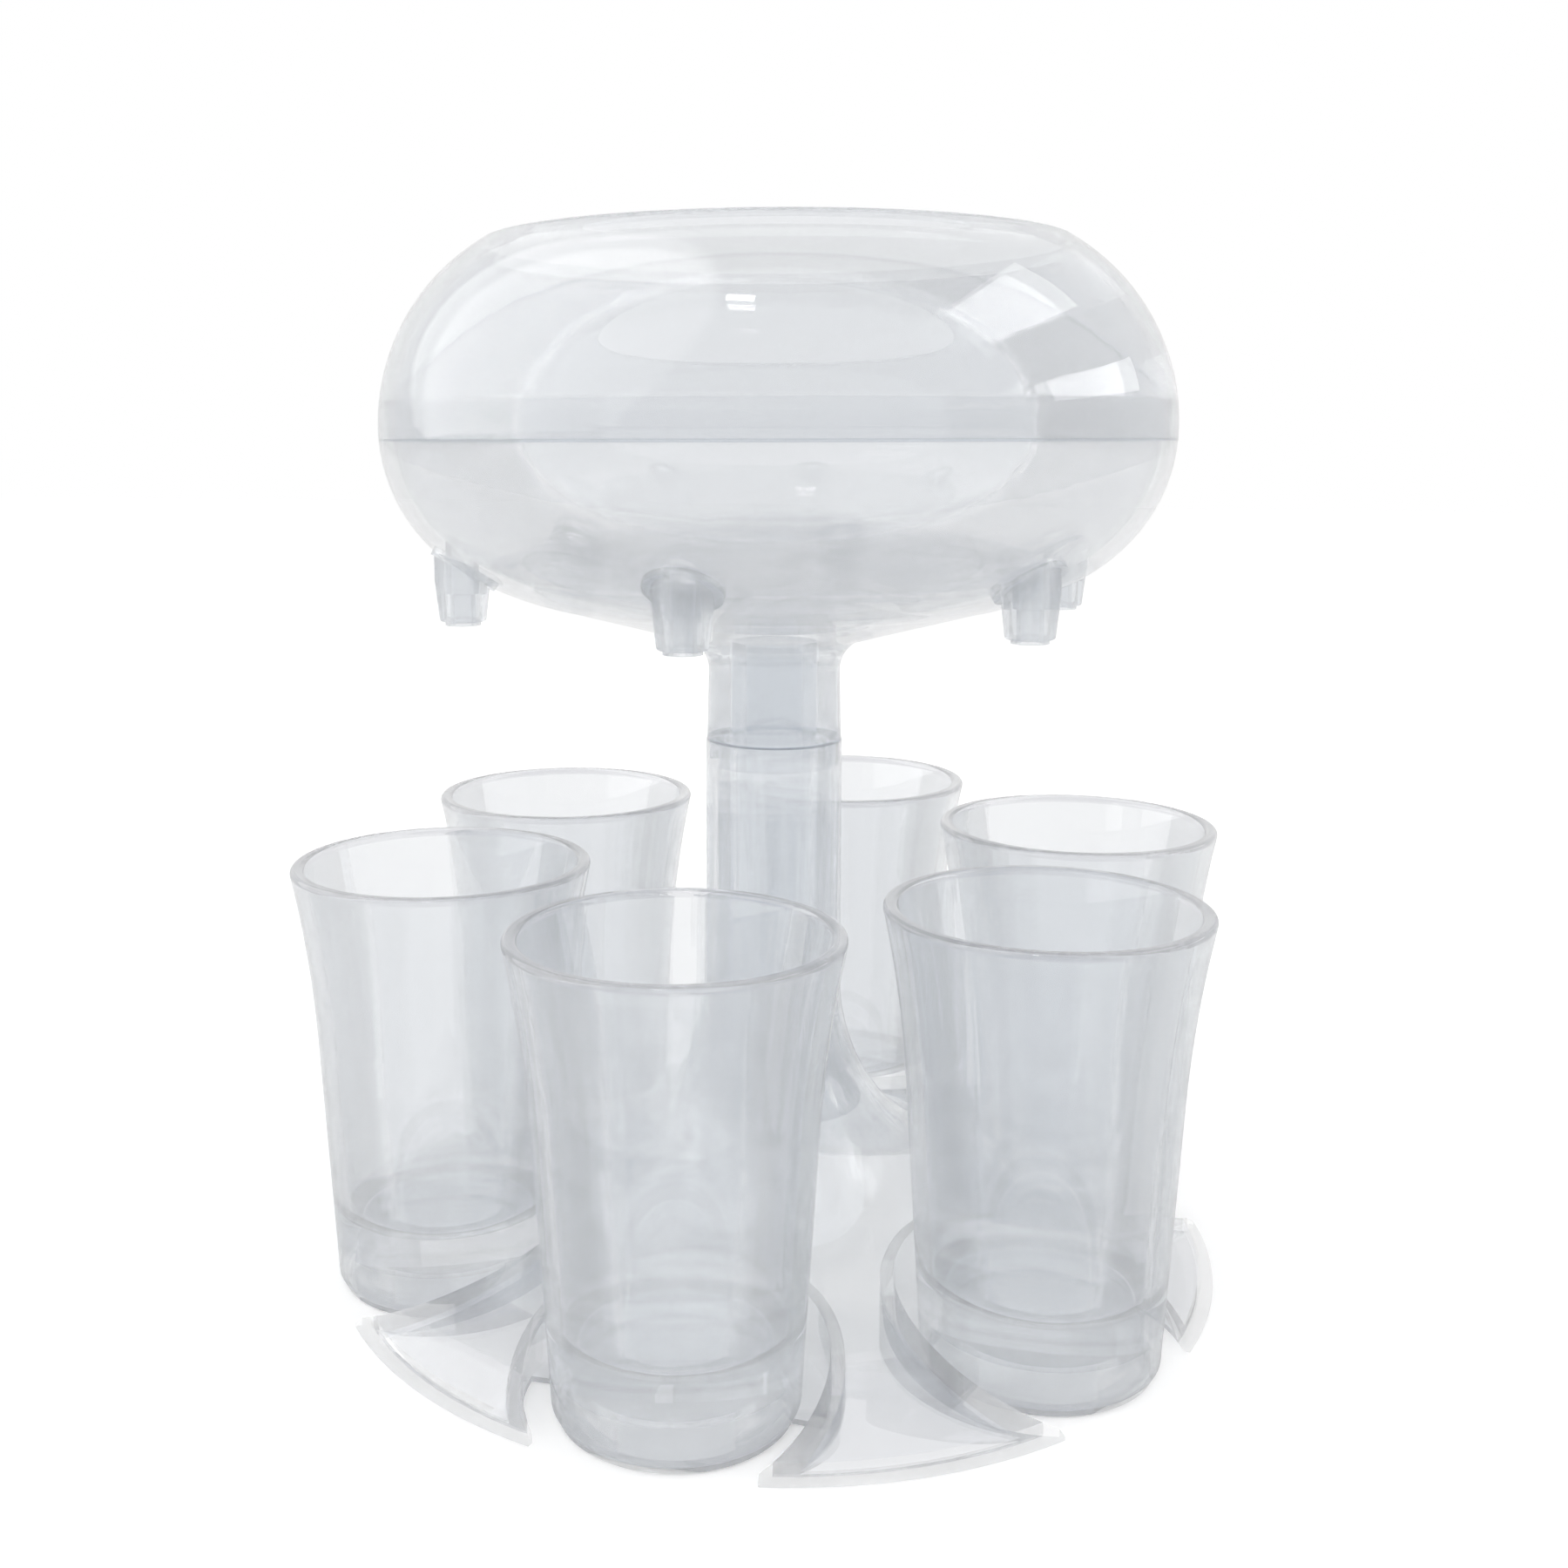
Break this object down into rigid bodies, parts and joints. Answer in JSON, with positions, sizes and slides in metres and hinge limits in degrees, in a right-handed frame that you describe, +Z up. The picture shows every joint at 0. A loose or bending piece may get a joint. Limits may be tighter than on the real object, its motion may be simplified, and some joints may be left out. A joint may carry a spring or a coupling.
{
  "type": "party shot dispenser",
  "caption": "Clear stand with small cups in a ring and a lift-off two-part bowl on a central column, whose bottom spouts fill the cups together.",
  "frame": {"origin": "on the ground, on the column's axis", "axes": "+Z up along the column, -Y towards the front cup"},
  "size_m": [0.1464, 0.1588, 0.167],
  "materials": {
    "clear_stand": "clear, gloss",
    "clear_bowl": "clear, gloss",
    "clear_spout": "clear, gloss",
    "clear_cup": "clear, gloss"
  },
  "bodies": {
    "stand": {"stand": "clear_stand"},
    "bowl": {"bowl_lower": "clear_bowl", "spreader": "clear_bowl", "spout_front": "clear_spout", "spout_front_right": "clear_spout", "spout_rear_right": "clear_spout", "spout_rear": "clear_spout", "spout_rear_left": "clear_spout", "spout_front_left": "clear_spout"},
    "bowl_top": {"bowl_upper": "clear_bowl"},
    "cup_front": {"cup_front": "clear_cup"},
    "cup_front_right": {"cup_front_right": "clear_cup"},
    "cup_rear_right": {"cup_rear_right": "clear_cup"},
    "cup_rear": {"cup_rear": "clear_cup"},
    "cup_rear_left": {"cup_rear_left": "clear_cup"},
    "cup_front_left": {"cup_front_left": "clear_cup"}
  },
  "joints": [
    {"name": "bowl_lift", "type": "slide", "parent": "stand", "child": "bowl", "axis": [0, 0, 1], "range_m": [0, 0.025]},
    {"name": "bowl_top_lift", "type": "slide", "parent": "bowl", "child": "bowl_top", "axis": [0, 0, 1], "range_m": [0, 0.02]},
    {"name": "cup_front_out", "type": "slide", "parent": "stand", "child": "cup_front", "axis": [0, -0.7071, 0.7071], "range_m": [0, 0.06]},
    {"name": "cup_front_right_out", "type": "slide", "parent": "stand", "child": "cup_front_right", "axis": [0.6124, -0.3536, 0.7071], "range_m": [0, 0.06]},
    {"name": "cup_rear_right_out", "type": "slide", "parent": "stand", "child": "cup_rear_right", "axis": [0.6124, 0.3536, 0.7071], "range_m": [0, 0.06]},
    {"name": "cup_rear_out", "type": "slide", "parent": "stand", "child": "cup_rear", "axis": [0, 0.7071, 0.7071], "range_m": [0, 0.06]},
    {"name": "cup_rear_left_out", "type": "slide", "parent": "stand", "child": "cup_rear_left", "axis": [-0.6124, 0.3536, 0.7071], "range_m": [0, 0.06]},
    {"name": "cup_front_left_out", "type": "slide", "parent": "stand", "child": "cup_front_left", "axis": [-0.6124, -0.3536, 0.7071], "range_m": [0, 0.06]}
  ]
}
